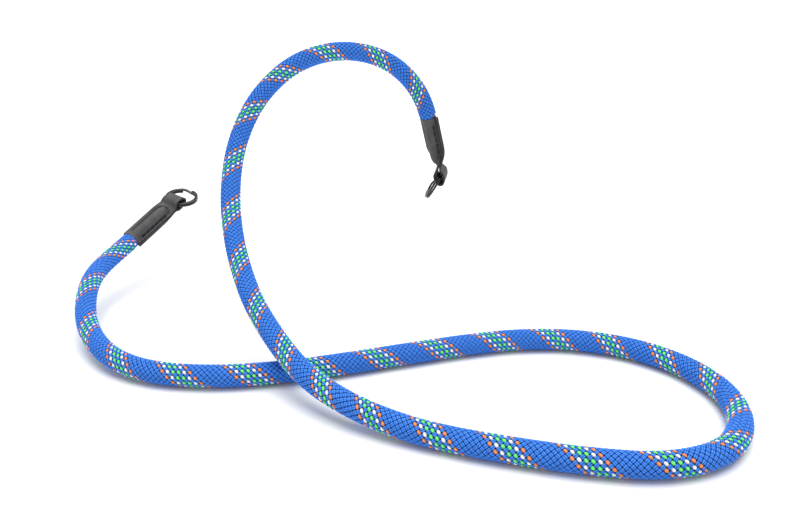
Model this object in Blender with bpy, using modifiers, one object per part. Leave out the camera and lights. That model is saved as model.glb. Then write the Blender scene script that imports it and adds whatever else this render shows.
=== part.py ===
"""Rope camera strap, in metres, +Z up.

One braided rope runs from a leather end on the left to one on the right. Each leather end is a strip
folded in half round a two-turn split ring, with its two halves closed round the rope's end. The origin
is the centre of the left ring. The rope lies on a table in two loops and rises in an arch to the right.
"""
import math

import bmesh
import bpy
import numpy as np
from mathutils import Matrix, Vector

# Clearance between pieces that touch on the real strap
GAP = 0.0003

# Rope
ROPE_DIAMETER = 0.010
ROPE_NECK_DIAMETER = 0.0068
ROPE_NECK_RUN = 0.003
ROPE_POINT_SPACING = 0.0125
ROPE_SIDES_RESOLUTION = 4

# Leather end, from its mouth to its fold round the ring
LEATHER_THICKNESS = 0.0011
SIDE_SEAM_WIDTH = 0.0020
GRIP_LENGTH = 0.0215
TAPER_LENGTH = 0.0083
WAIST_WIDTH = 0.0112
WAIST_LAYERS = 2.5
FOLD_WIDTH = 0.0106
FOLD_HOLE_LENGTH = 0.0091
FOLD_HOLE_SETBACK = 0.0012
FOLD_END_ANGLE = 168.0
FOLD_NARROWING_ROWS = 4
FOLD_ROWS = 12
SECTION_POINTS = 32
SHARP_EDGE_ANGLE = 40.0
SLEEVE_SQUARENESS = 2.3
FOLD_SQUARENESS = 4.5
TWIST_START = 0.0245
TWIST_END = 0.0345
# Sections from the sleeve to the waist: share of the taper's length, share of the way from the sleeve's
# thickness to the waist's, and squareness. The rope's blunt end holds the middle up longer than the sides.
TAPER_TABLE = [
    (0.00, 0.00, 2.3),
    (0.20, 0.04, 2.2),
    (0.40, 0.14, 2.0),
    (0.60, 0.34, 1.8),
    (0.78, 0.58, 1.7),
    (0.92, 0.84, 2.2),
]

# Split ring: two flat turns of wire, with one step between them
RING_OUTER_DIAMETER = 0.019
RING_WIRE_WIDTH = 0.0017
RING_WIRE_HEIGHT = 0.00128
RING_TURN_GAP = 0.00014
RING_STEP_ANGLE = 40.0
RING_POINTS = 60
RING_WIRE_SQUARENESS = 3.2
RING_WIRE_SIDES = 12

# Right ring's centre, from the left ring's: across, behind and above
RINGS_APART = 0.1521
RIGHT_RING_BEHIND = -0.0019
RIGHT_RING_ABOVE = 0.0090

# Each end: the way from mouth to ring, the way of the sleeve's width, the leather's twist up to the fold,
# the ring's tilt out of the fold's plane, where the ring crosses the hole, and where its wire ends are
ENDS = {
    "left": {
        "ring_centre": (0.0, 0.0, 0.0),
        "axis": (0.475, 0.787, 0.390),
        "width": (0.538, 0.072, -0.840),
        "twist": -53.0,
        "ring_tilt": 15.0,
        "ring_seat": 0.0352,
        "split_at": 165.0,
    },
    "right": {
        "ring_centre": (RINGS_APART, RIGHT_RING_BEHIND, RIGHT_RING_ABOVE),
        "axis": (0.223, 0.146, -0.965),
        "width": (0.420, -0.900, -0.060),
        "twist": 38.0,
        "ring_tilt": 42.0,
        "ring_seat": 0.0358,
        "split_at": 105.0,
    },
}

# Rope's centre line from the left mouth, along the table and up to the foot of the arch
ROPE_ROUTE = [
    (-0.0285, -0.0565, -0.0210),
    (-0.0280, -0.0800, -0.0240),
    (-0.0215, -0.1035, -0.0295),
    (-0.0085, -0.1250, -0.0340),
    (0.0125, -0.1420, -0.0365),
    (0.0400, -0.1495, -0.0370),
    (0.0770, -0.1470, -0.0370),
    (0.1155, -0.1360, -0.0370),
    (0.1535, -0.1235, -0.0370),
    (0.1835, -0.1160, -0.0370),
    (0.2115, -0.1155, -0.0370),
    (0.2350, -0.1225, -0.0370),
    (0.2540, -0.1370, -0.0370),
    (0.2650, -0.1570, -0.0370),
    (0.2655, -0.1805, -0.0370),
    (0.2540, -0.2010, -0.0370),
    (0.2320, -0.2120, -0.0370),
    (0.2010, -0.2110, -0.0370),
    (0.1680, -0.2030, -0.0370),
    (0.1360, -0.1915, -0.0365),
    (0.1115, -0.1785, -0.0335),
    (0.0935, -0.1635, -0.0295),
    (0.0785, -0.1445, -0.0230),
    (0.0650, -0.1230, -0.0140),
]
# The rest of the centre line, over the arch to the right mouth and measured from there
ROPE_ARCH = [
    (-0.0927, -0.0928, -0.0519),
    (-0.0992, -0.0733, -0.0379),
    (-0.1017, -0.0548, -0.0199),
    (-0.0982, -0.0383, 0.0001),
    (-0.0877, -0.0253, 0.0181),
    (-0.0707, -0.0158, 0.0316),
    (-0.0487, -0.0088, 0.0371),
    (-0.0257, -0.0043, 0.0326),
    (-0.0092, -0.0023, 0.0196),
]

COLOURS = {
    "rope_braid": ((0.017, 0.141, 0.716, 1.0), 0.75, 0.0),
    "black_leather": ((0.035, 0.035, 0.037, 1.0), 0.55, 0.0),
    "black_nickel": ((0.045, 0.045, 0.050, 1.0), 0.22, 1.0),
}

# Sizes that follow from the ones above
BORE_DIAMETER = ROPE_NECK_DIAMETER + 2 * GAP
SLEEVE_THICKNESS = BORE_DIAMETER + 2 * LEATHER_THICKNESS
SLEEVE_WIDTH = BORE_DIAMETER + 2 * SIDE_SEAM_WIDTH
WAIST_THICKNESS = WAIST_LAYERS * LEATHER_THICKNESS
WAIST_POSITION = GRIP_LENGTH + TAPER_LENGTH
RING_MEAN_RADIUS = (RING_OUTER_DIAMETER - RING_WIRE_WIDTH) / 2
RING_TURN_PITCH = RING_WIRE_HEIGHT + RING_TURN_GAP
RING_HEIGHT = RING_TURN_PITCH + RING_WIRE_HEIGHT


def wire_sag_in_fold():
    """How far the round wire bows between the fold's two edges."""
    inner = RING_MEAN_RADIUS - RING_WIRE_WIDTH / 2
    half_width = min(FOLD_WIDTH, 2 * inner) / 2
    return inner - math.sqrt(inner**2 - half_width**2)


def ring_room_in_fold(tilt):
    """Height of the hole that lets the bowed wire pass through the fold at this tilt."""
    wire_depth = RING_WIRE_WIDTH + wire_sag_in_fold()
    return RING_HEIGHT * math.cos(tilt) + wire_depth * math.sin(tilt) + 2 * GAP


FOLD_HOLE_HEIGHT = max(ring_room_in_fold(math.radians(end["ring_tilt"])) for end in ENDS.values())
FOLD_CENTRE = WAIST_POSITION + FOLD_HOLE_SETBACK + FOLD_HOLE_LENGTH / 2
FOLD_HALF_LENGTH = FOLD_HOLE_LENGTH / 2 + LEATHER_THICKNESS
FOLD_HALF_HEIGHT = FOLD_HOLE_HEIGHT / 2 + LEATHER_THICKNESS


def clear_scene():
    for item in list(bpy.data.objects):
        bpy.data.objects.remove(item, do_unlink=True)


def new_collection(name):
    collection = bpy.data.collections.new(name)
    bpy.context.scene.collection.children.link(collection)
    return collection


def make_material(name):
    colour, roughness, metallic = COLOURS[name]
    material = bpy.data.materials.new(name)
    material.use_nodes = True
    shader = material.node_tree.nodes["Principled BSDF"]
    shader.inputs["Base Color"].default_value = colour
    shader.inputs["Roughness"].default_value = roughness
    shader.inputs["Metallic"].default_value = metallic
    return material


def upright_frame(place, z_way, x_way):
    """Matrix at place whose Z runs along z_way and whose X is x_way made square to it."""
    z_axis = Vector(z_way).normalized()
    x_axis = Vector(x_way)
    x_axis = (x_axis - x_axis.dot(z_axis) * z_axis).normalized()
    y_axis = z_axis.cross(x_axis)
    turn = Matrix((x_axis, y_axis, z_axis)).transposed().to_4x4()
    return Matrix.Translation(place) @ turn


def ring_frame_in_leather(end):
    """The ring's matrix in its leather end's frame: X points at the stretch of wire inside the fold."""
    twist = Matrix.Rotation(math.radians(end["twist"]), 4, "Z")
    tilt = Matrix.Rotation(-math.radians(end["ring_tilt"]), 4, "X")
    seat = Matrix.Translation((0, 0, end["ring_seat"]))
    wire_to_centre = Matrix.Translation((0, 0, RING_MEAN_RADIUS - wire_sag_in_fold() / 2))
    ring_turn = upright_frame((0, 0, 0), (0, 1, 0), (0, 0, -1))
    return seat @ twist @ tilt @ wire_to_centre @ ring_turn


def leather_frames():
    """Each leather end is placed from its ring, with its own origin in the middle of its mouth."""
    frames = {}
    for side, end in ENDS.items():
        turned = upright_frame((0, 0, 0), end["axis"], end["width"])
        mouth = Vector(end["ring_centre"]) - (turned @ ring_frame_in_leather(end)).translation
        frames[side] = Matrix.Translation(mouth) @ turned
    return frames


def smooth_curve(points, start_way, end_way):
    """Clamped cubic spline through the points, as a function of the distance along the chords."""
    points = np.array(points)
    chords = np.linalg.norm(np.diff(points, axis=0), axis=1)
    knots = np.concatenate(([0.0], np.cumsum(chords)))
    count = len(points)
    matrix = np.zeros((count, count))
    target = np.zeros((count, 3))
    matrix[0, 0] = matrix[-1, -1] = 1.0
    target[0], target[-1] = start_way, end_way
    for row in range(1, count - 1):
        before, after = chords[row - 1], chords[row]
        matrix[row, row - 1 : row + 2] = after, 2 * (before + after), before
        rise_before = (points[row] - points[row - 1]) / before
        rise_after = (points[row + 1] - points[row]) / after
        target[row] = 3 * (after * rise_before + before * rise_after)
    slopes = np.linalg.solve(matrix, target)

    def place(distance):
        piece = min(max(int(np.searchsorted(knots, distance)) - 1, 0), count - 2)
        length = chords[piece]
        t = (distance - knots[piece]) / length
        return (
            (1 + 2 * t) * (1 - t) ** 2 * points[piece]
            + t * (1 - t) ** 2 * length * slopes[piece]
            + t**2 * (3 - 2 * t) * points[piece + 1]
            + t**2 * (t - 1) * length * slopes[piece + 1]
        )

    return place, knots[-1]


def rope_points(frames):
    """Points of the rope and their share of its thickness, from the left sleeve's inside to the right one's."""
    mouths = [frames[side].translation for side in ("left", "right")]
    ways = [frames[side].to_3x3() @ Vector((0, 0, 1)) for side in ("left", "right")]
    arch = [mouths[1] + Vector(step) for step in ROPE_ARCH]
    place, length = smooth_curve([mouths[0], *ROPE_ROUTE, *arch, mouths[1]], -ways[0], ways[1])
    neck = ROPE_NECK_DIAMETER / ROPE_DIAMETER
    depth = GRIP_LENGTH - GAP
    free = length - 2 * ROPE_NECK_RUN
    steps = max(2, round(free / ROPE_POINT_SPACING))
    distances = [ROPE_NECK_RUN + free * step / steps for step in range(steps + 1)]
    middle = [(Vector(place(distance)), 1.0) for distance in distances]
    start = [(mouths[0] + ways[0] * depth, neck), (mouths[0], neck)]
    finish = [(mouths[1], neck), (mouths[1] + ways[1] * depth, neck)]
    return start + middle + finish


def poly_curve(name, points, closed=False):
    curve = bpy.data.curves.new(name, "CURVE")
    curve.dimensions = "3D"
    spline = curve.splines.new("POLY")
    spline.points.add(len(points) - 1)
    for point, (place, radius) in zip(spline.points, points):
        point.co = (*place, 1.0)
        point.radius = radius
    spline.use_cyclic_u = closed
    spline.use_smooth = True
    return curve


def make_rope(collection, frames):
    curve = poly_curve("rope", rope_points(frames))
    curve.bevel_depth = ROPE_DIAMETER / 2
    curve.bevel_resolution = ROPE_SIDES_RESOLUTION
    curve.use_fill_caps = True
    curve.materials.append(make_material("rope_braid"))
    rope = bpy.data.objects.new("rope", curve)
    collection.objects.link(rope)
    return rope


def superellipse(width, height, squareness, count):
    """Outline points: an ellipse at squareness 2, nearing a box as it grows."""
    outline = []
    for step in range(count):
        angle = math.tau * step / count
        across, up = math.cos(angle), math.sin(angle)
        x = math.copysign(abs(across) ** (2 / squareness), across) * width / 2
        y = math.copysign(abs(up) ** (2 / squareness), up) * height / 2
        outline.append((x, y))
    return outline


def mix(low, high, share):
    return low + (high - low) * share


def leather_sections():
    """Rows of position, width, thickness and squareness, from the mouth to the end of the fold."""
    rows = [
        (0.0, SLEEVE_WIDTH, SLEEVE_THICKNESS, SLEEVE_SQUARENESS),
        (GRIP_LENGTH / 2, SLEEVE_WIDTH, SLEEVE_THICKNESS, SLEEVE_SQUARENESS),
    ]
    for share, drawn, squareness in TAPER_TABLE:
        rows.append((
            GRIP_LENGTH + TAPER_LENGTH * share,
            mix(SLEEVE_WIDTH, WAIST_WIDTH, drawn),
            mix(SLEEVE_THICKNESS, WAIST_THICKNESS, drawn),
            squareness,
        ))
    first = math.asin(min(1.0, WAIST_THICKNESS / 2 / FOLD_HALF_HEIGHT))
    last = math.radians(FOLD_END_ANGLE)
    for step in range(FOLD_ROWS + 1):
        angle = mix(first, last, step / FOLD_ROWS)
        position = FOLD_CENTRE - FOLD_HALF_LENGTH * math.cos(angle)
        narrowed = mix(WAIST_WIDTH, FOLD_WIDTH, min(1.0, step / FOLD_NARROWING_ROWS))
        rows.append((position, narrowed, 2 * FOLD_HALF_HEIGHT * math.sin(angle), FOLD_SQUARENESS))
    return rows


def make_loft(name, rows):
    """Closed mesh through rows of sections that change from round to flat."""
    shape = bmesh.new()
    rings = []
    for position, width, thickness, squareness in rows:
        outline = superellipse(width, thickness, squareness, SECTION_POINTS)
        rings.append([shape.verts.new((x, y, position)) for x, y in outline])
    for lower, upper in zip(rings, rings[1:]):
        for side in range(SECTION_POINTS):
            following = (side + 1) % SECTION_POINTS
            shape.faces.new((lower[side], lower[following], upper[following], upper[side]))
    shape.faces.new(reversed(rings[0]))
    shape.faces.new(rings[-1])
    mesh = bpy.data.meshes.new(name)
    shape.to_mesh(mesh)
    shape.free()
    return mesh


def make_cutter(name, collection, radius_x, radius_z, depth, turn):
    """Round or oval cylinder that a Boolean takes away."""
    bpy.ops.mesh.primitive_cylinder_add(vertices=SECTION_POINTS, radius=1.0, depth=1.0)
    cutter = bpy.context.object
    cutter.name = name
    cutter.data.transform(turn @ Matrix.Diagonal((radius_x, radius_z, depth, 1.0)))
    for owner in list(cutter.users_collection):
        owner.objects.unlink(cutter)
    collection.objects.link(cutter)
    cutter.hide_render = True
    cutter.display_type = "WIRE"
    return cutter


def cut(target, cutter, place):
    cutter.parent = target
    cutter.location = place
    boolean = target.modifiers.new(cutter.name, "BOOLEAN")
    boolean.operation = "DIFFERENCE"
    boolean.solver = "EXACT"
    boolean.object = cutter


def make_leather_end(side, collection, cutters, frame, material):
    name = f"leather_end_{side}"
    mesh = make_loft(name, leather_sections())
    mesh.materials.append(material)
    leather = bpy.data.objects.new(name, mesh)
    collection.objects.link(leather)
    leather.matrix_world = frame

    bore = make_cutter(
        f"bore_{side}", cutters, BORE_DIAMETER / 2, BORE_DIAMETER / 2, 2 * GRIP_LENGTH, Matrix.Identity(4)
    )
    cut(leather, bore, (0, 0, 0))
    sideways = Matrix.Rotation(math.radians(90), 4, "Y")
    hole = make_cutter(
        f"ring_hole_{side}", cutters, FOLD_HOLE_LENGTH / 2, FOLD_HOLE_HEIGHT / 2, 2 * WAIST_WIDTH, sideways
    )
    cut(leather, hole, (0, 0, FOLD_CENTRE))

    pivot = bpy.data.objects.new(f"twist_start_{side}", None)
    collection.objects.link(pivot)
    pivot.parent = leather
    pivot.location = (0, 0, TWIST_START)
    length = leather_sections()[-1][0]
    twist = leather.modifiers.new("twist", "SIMPLE_DEFORM")
    twist.deform_method = "TWIST"
    twist.deform_axis = "Z"
    twist.origin = pivot
    twist.limits = (TWIST_START / length, TWIST_END / length)
    twist.angle = math.radians(ENDS[side]["twist"])
    mesh.shade_smooth()
    mesh.set_sharp_from_angle(angle=math.radians(SHARP_EDGE_ANGLE))
    return leather


def make_wire_section(collection):
    """Flat wire's rounded outline, kept as a guide for the rings."""
    outline = superellipse(RING_WIRE_WIDTH, RING_WIRE_HEIGHT, RING_WIRE_SQUARENESS, RING_WIRE_SIDES)
    curve = poly_curve("wire_section", [((x, y, 0), 1.0) for x, y in reversed(outline)], closed=True)
    curve.dimensions = "2D"
    section = bpy.data.objects.new("wire_section", curve)
    collection.objects.link(section)
    section.hide_render = True
    section.display_type = "WIRE"
    return section


def ring_points(split_at):
    """Two flat turns; the wire climbs from the lower to the upper one where both of its ends stop."""
    half_step = RING_STEP_ANGLE / 2
    start, finish = half_step, 720 - half_step
    points = []
    for step in range(RING_POINTS + 1):
        angle = mix(start, finish, step / RING_POINTS)
        climb = min(1.0, max(0.0, (angle - 360 + half_step) / RING_STEP_ANGLE))
        height = mix(-RING_TURN_PITCH / 2, RING_TURN_PITCH / 2, climb * climb * (3 - 2 * climb))
        turned = math.radians(angle + split_at)
        across, along = RING_MEAN_RADIUS * math.cos(turned), RING_MEAN_RADIUS * math.sin(turned)
        points.append(((across, along, height), 1.0))
    return points


def make_split_ring(side, collection, frame, section, material):
    name = f"split_ring_{side}"
    curve = poly_curve(name, ring_points(ENDS[side]["split_at"]))
    curve.twist_mode = "Z_UP"
    curve.bevel_mode = "OBJECT"
    curve.bevel_object = section
    curve.use_fill_caps = True
    curve.materials.append(material)
    ring = bpy.data.objects.new(name, curve)
    collection.objects.link(ring)
    ring.matrix_world = frame @ ring_frame_in_leather(ENDS[side])
    return ring


def main():
    clear_scene()
    strap = new_collection("rope_camera_strap")
    cutters = new_collection("cutters_and_guides")
    frames = leather_frames()
    leather = make_material("black_leather")
    nickel = make_material("black_nickel")
    section = make_wire_section(cutters)
    make_rope(strap, frames)
    for side, frame in frames.items():
        make_leather_end(side, strap, cutters, frame, leather)
        make_split_ring(side, strap, frame, section, nickel)


main()
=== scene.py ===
"""Looks of a rope camera strap: its braid, its stitched leather ends and its split rings."""
import math

import bmesh
import bpy
import numpy as np
from bpy.props import FloatProperty, FloatVectorProperty, PointerProperty
from mathutils import Matrix, Vector


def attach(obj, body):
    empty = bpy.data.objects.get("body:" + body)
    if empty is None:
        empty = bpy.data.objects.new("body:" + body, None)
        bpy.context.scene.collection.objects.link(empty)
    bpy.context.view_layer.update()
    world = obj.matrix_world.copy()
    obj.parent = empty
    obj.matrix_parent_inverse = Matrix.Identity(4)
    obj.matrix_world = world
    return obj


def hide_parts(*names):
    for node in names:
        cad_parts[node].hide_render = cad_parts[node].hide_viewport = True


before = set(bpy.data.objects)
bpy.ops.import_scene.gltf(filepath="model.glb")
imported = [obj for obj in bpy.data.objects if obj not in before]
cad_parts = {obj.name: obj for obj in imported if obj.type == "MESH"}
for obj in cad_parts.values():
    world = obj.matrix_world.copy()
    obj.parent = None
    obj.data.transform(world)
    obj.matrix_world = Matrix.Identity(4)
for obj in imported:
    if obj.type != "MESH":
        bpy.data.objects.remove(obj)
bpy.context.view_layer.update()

bl_info = {
    "name": "Rope Camera Strap",
    "version": (1, 0, 0),
    "blender": (4, 5, 0),
    "location": "3D View > Sidebar > Strap",
    "description": "Builds the braid, leather ends and split rings of a rope camera strap",
    "category": "Object",
}

# Viewpoint of the photograph, whose frame is taken to be 800 x 516 pixels
CAMERA_PLACE = (0.1317, -0.436, 0.1253)
CAMERA_DOWN_TILT = 20.64
CAMERA_LENS = 33.75
CAMERA_SENSOR = 36.0

# Each end, as in the solids: mouth, way from mouth to ring, the way from which the leather's width
# is turned, its turn at the fold, the ring's centre, its tilt out of the fold's plane, and where
# its wire ends are. The flat sides of the sleeve have a turn of their own, which eases into the
# fold's from turn_from on, and bend to the side that bow_way gives. The half on the other side is
# cut back along one edge.
ENDS = {
    "left": {
        "mouth": (-0.02028, -0.03439, -0.01485),
        "axis": (0.475, 0.787, 0.390),
        "width": (0.538, 0.072, -0.840),
        "twist": -53.0,
        "sleeve_turn": -34.0,
        "turn_from": 0.0245,
        "bow_way": 1.0,
        "ring_centre": (0.0, 0.0, 0.0),
        "ring_tilt": 15.0,
        "split_at": 165.0,
    },
    "right": {
        "mouth": (0.14771, -0.00921, 0.04989),
        "axis": (0.223, 0.146, -0.965),
        "width": (0.420, -0.900, -0.060),
        "twist": 38.0,
        "sleeve_turn": -22.0,
        "turn_from": 0.0180,
        "bow_way": -1.0,
        "ring_centre": (0.1521, -0.0019, 0.0090),
        "ring_tilt": 42.0,
        "split_at": 105.0,
    },
}
# Leather end along its length, as in the solids: the rope's bed, the waist, the fold's eye, where
# the halves part, and where the fold's turn is reached
GRIP_LENGTH = 0.0215
WAIST_POSITION = 0.0298
FOLD_CENTRE = 0.03555
FOLD_HALF_LENGTH = 0.00565
FOLD_HALF_HEIGHT = 0.00340
FOLD_PARTS = 0.0308
TWIST_END = 0.0345
# A place inside the sleeve, on its middle line
SLEEVE_MIDDLE = 0.012

# Rope's centre line between the two mouths, from left to right, as in the solids
ROPE_ROUTE = [
    (-0.0285, -0.0565, -0.0210),
    (-0.0280, -0.0800, -0.0240),
    (-0.0215, -0.1035, -0.0295),
    (-0.0085, -0.1250, -0.0340),
    (0.0125, -0.1420, -0.0365),
    (0.0400, -0.1495, -0.0370),
    (0.0770, -0.1470, -0.0370),
    (0.1155, -0.1360, -0.0370),
    (0.1535, -0.1235, -0.0370),
    (0.1835, -0.1160, -0.0370),
    (0.2115, -0.1155, -0.0370),
    (0.2350, -0.1225, -0.0370),
    (0.2540, -0.1370, -0.0370),
    (0.2650, -0.1570, -0.0370),
    (0.2655, -0.1805, -0.0370),
    (0.2540, -0.2010, -0.0370),
    (0.2320, -0.2120, -0.0370),
    (0.2010, -0.2110, -0.0370),
    (0.1680, -0.2030, -0.0370),
    (0.1360, -0.1915, -0.0365),
    (0.1115, -0.1785, -0.0335),
    (0.0935, -0.1635, -0.0295),
    (0.0785, -0.1445, -0.0230),
    (0.0650, -0.1230, -0.0140),
    (0.0550, -0.1020, -0.0020),
    (0.0485, -0.0825, 0.0120),
    (0.0460, -0.0640, 0.0300),
    (0.0495, -0.0475, 0.0500),
    (0.0600, -0.0345, 0.0680),
    (0.0770, -0.0250, 0.0815),
    (0.0990, -0.0180, 0.0870),
    (0.1220, -0.0135, 0.0825),
    (0.1385, -0.0115, 0.0695),
]
ROUTE_SAMPLES = 12001
ROPE_DEPTH_IN_SLEEVE = 0.0212
BRAID_DEPTH_IN_SLEEVE = 0.005
# Share of its thickness that the pressed rope keeps inside the leather, and half the run of the
# change
NECK_SHARE = 0.48
NECK_RUN = 0.0025

# Braid: carriers each way, and the colours of those that climb to the right, side by side
CARRIERS = 12
RISING_COLOURS = ("orange", "white", "green", "green", "white", "orange") + ("blue",) * 6
ROWS_PER_CROSSING = 3
CORE_SIDES = 16
CORE_ROW_STEP = 3
# Where the middle of the coloured band lies: share of the rope between the mouths, turns round the
# rope
BAND_TURNS = [
    (0.000, -0.46),
    (0.049, 0.73),
    (0.087, 1.72),
    (0.132, 3.09),
    (0.229, 6.12),
    (0.259, 7.12),
    (0.353, 10.13),
    (0.464, 14.02),
    (0.490, 14.87),
    (0.552, 16.80),
    (0.613, 18.80),
    (0.642, 19.81),
    (0.667, 20.83),
    (0.696, 21.85),
    (0.860, 26.95),
    (0.889, 27.96),
    (1.000, 31.66),
]
# Middle of the coloured strands in RISING_COLOURS
BAND_MIDDLE = 2.5
# A strand's outline, as shares of its half width and half thickness, its least share of width where
# it dips, and how much sooner it dips: two yarns side by side in the blue strands, one full yarn in
# the coloured ones
TWO_YARNS = (
    ((-1.0, -0.15), (-0.52, 0.95), (0.0, 0.55), (0.52, 0.95), (1.0, -0.15), (0.0, -0.9)), 0.80, 0.0
)
ONE_YARN = (
    ((-1.0, -0.35), (-0.62, 0.65), (0.0, 1.15), (0.62, 0.65), (1.0, -0.35), (0.0, -0.9)), 0.45, 0.4
)
# Start of each strand's fibre pattern, in millimetres along it beyond the last strand's
STRAND_PATTERN_STEP = 57

# Leather over the rope: the mouth flares, one half is cut back along one edge, and the swelling
# ends round and runs softly into the flat sides
MOUTH_FLARE_LENGTH = 0.0060
MOUTH_FLARE_WIDTH = 0.0009
MOUTH_FLARE_HEIGHT = 0.00030
CUT_BACK = 0.0010
BULGE_END_LENGTH = 0.0078
BULGE_ROUNDNESS = 0.42
BULGE_SOFTNESS = 0.0006
# Leather's fold: how quickly the halves part before it, the rows to each side over which its line
# is smoothed, and the points that the line is made from
PARTING_EXPONENT = 0.8
SMOOTHING_REACH = 5
FLAT_SAMPLES, PARTING_SAMPLES, BEND_SAMPLES = 90, 40, 30
LEATHER_ROWS = 301
LEATHER_COLUMNS = 45
# Stitching on each half: where it starts, its turn round the rope's end beyond the rope's bed, the
# share of each step that the thread covers, and the points that line and thread are made from
STITCH_START = 0.0043
STITCH_TURN_START = 0.0040
STITCH_TURN_LENGTH = 0.0037
STITCH_COVER = 0.64
STITCH_LINE_SAMPLES = 60
STITCH_ROWS = 11
THREAD_SIDES = 8
# How far the middle of a stitch rises from the groove's bottom, in thicknesses of the thread
THREAD_RISE = 0.45
# Groove in the leather: the shares of its depth along all the stitching and under each stitch, and
# how far each reaches, in thicknesses of the thread
CHANNEL_SHARE, CHANNEL_REACH = 0.45, 1.1
DENT_SHARE, DENT_REACH = 0.55, 0.6
LIP_LENGTH = 0.0016

# Ring wire: its sections along the two turns, its corners, and how square it is
RING_ROWS = 241
RING_SIDES = 20
WIRE_SQUARENESS = 3.6
# Rounding of the wire's two ends: share of the full section, and how far back from the end
WIRE_END = ((0.62, 0.0), (0.86, 0.00006), (1.0, 0.0002))

# Floor just under the lying rope, with duller patches, and the soft light from above, which shines
# from its place to the origin
FLOOR_HEIGHT = -0.0423
FLOOR_CENTRE = (0.12, 0.0)
FLOOR_HALF_SIZE = 6.0
FLOOR_DULL_SHARE = 0.985
KEY_PLACE = (0.05, 0.12, 0.97)
KEY_SPREAD = 56.0


def smooth_curve(points, start_way, end_way):
    """Clamped cubic spline through the points, as a function of distances along the chords.

    Returned with the chords' whole length.
    """
    points = np.array([tuple(point) for point in points])
    chords = np.linalg.norm(np.diff(points, axis=0), axis=1)
    knots = np.concatenate(([0.0], np.cumsum(chords)))
    count = len(points)
    matrix = np.zeros((count, count))
    target = np.zeros((count, points.shape[1]))
    matrix[0, 0] = matrix[-1, -1] = 1.0
    target[0], target[-1] = start_way, end_way
    for row in range(1, count - 1):
        before, after = chords[row - 1], chords[row]
        matrix[row, row - 1 : row + 2] = after, 2 * (before + after), before
        rise_before = (points[row] - points[row - 1]) / before
        rise_after = (points[row + 1] - points[row]) / after
        target[row] = 3 * (after * rise_before + before * rise_after)
    slopes = np.linalg.solve(matrix, target)

    def place(distances):
        piece = np.clip(np.searchsorted(knots, distances) - 1, 0, count - 2)
        length = chords[piece][:, None]
        t = ((distances - knots[piece]) / chords[piece])[:, None]
        return (
            (1 + 2 * t) * (1 - t) ** 2 * points[piece]
            + t * (1 - t) ** 2 * length * slopes[piece]
            + t**2 * (3 - 2 * t) * points[piece + 1]
            + t**2 * (t - 1) * length * slopes[piece + 1]
        )

    return place, knots[-1]


def distances_along(points):
    """Each point's distance from the first, measured along the points."""
    return np.concatenate(([0.0], np.cumsum(np.linalg.norm(np.diff(points, axis=0), axis=1))))


def upright_frame(place, z_way, x_way):
    """Matrix at place whose Z runs along z_way and whose X is x_way made square to it."""
    z_axis = Vector(z_way).normalized()
    x_axis = Vector(x_way)
    x_axis = (x_axis - x_axis.dot(z_axis) * z_axis).normalized()
    y_axis = z_axis.cross(x_axis)
    turn = Matrix((x_axis, y_axis, z_axis)).transposed().to_4x4()
    return Matrix.Translation(place) @ turn


def leather_frame(side):
    """The leather end's matrix: origin in the mouth, Z to the ring and X across the strip."""
    end = ENDS[side]
    return upright_frame(end["mouth"], end["axis"], end["width"])


def ring_frame(side):
    """The ring's matrix: X to the stretch of wire inside the fold and Z along the ring's axis."""
    end = ENDS[side]
    leather = upright_frame((0, 0, 0), end["axis"], end["width"])
    twist = Matrix.Rotation(math.radians(end["twist"]), 4, "Z")
    tilt = Matrix.Rotation(-math.radians(end["ring_tilt"]), 4, "X")
    ring_turn = upright_frame((0, 0, 0), (0, 1, 0), (0, 0, -1))
    return Matrix.Translation(end["ring_centre"]) @ leather @ twist @ tilt @ ring_turn


def placed(matrix, points):
    """Points of an array moved by a matrix."""
    return points @ np.array(matrix.to_3x3()).T + np.array(matrix.translation)


def smooth_step(values):
    """Eases from 0 to 1 as the values go from 0 to 1."""
    values = np.clip(values, 0.0, 1.0)
    return values * values * (3 - 2 * values)


def unit(rows):
    """Vectors, one for each row, at a length of 1."""
    return rows / np.linalg.norm(rows, axis=1)[:, None]


def section_ways(centres, outward):
    """Sideways and upward directions of a strand's section at each of its centres."""
    ways = unit(np.gradient(centres, axis=0))
    sideways = unit(np.cross(ways, outward))
    return sideways, np.cross(sideways, ways)


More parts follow.
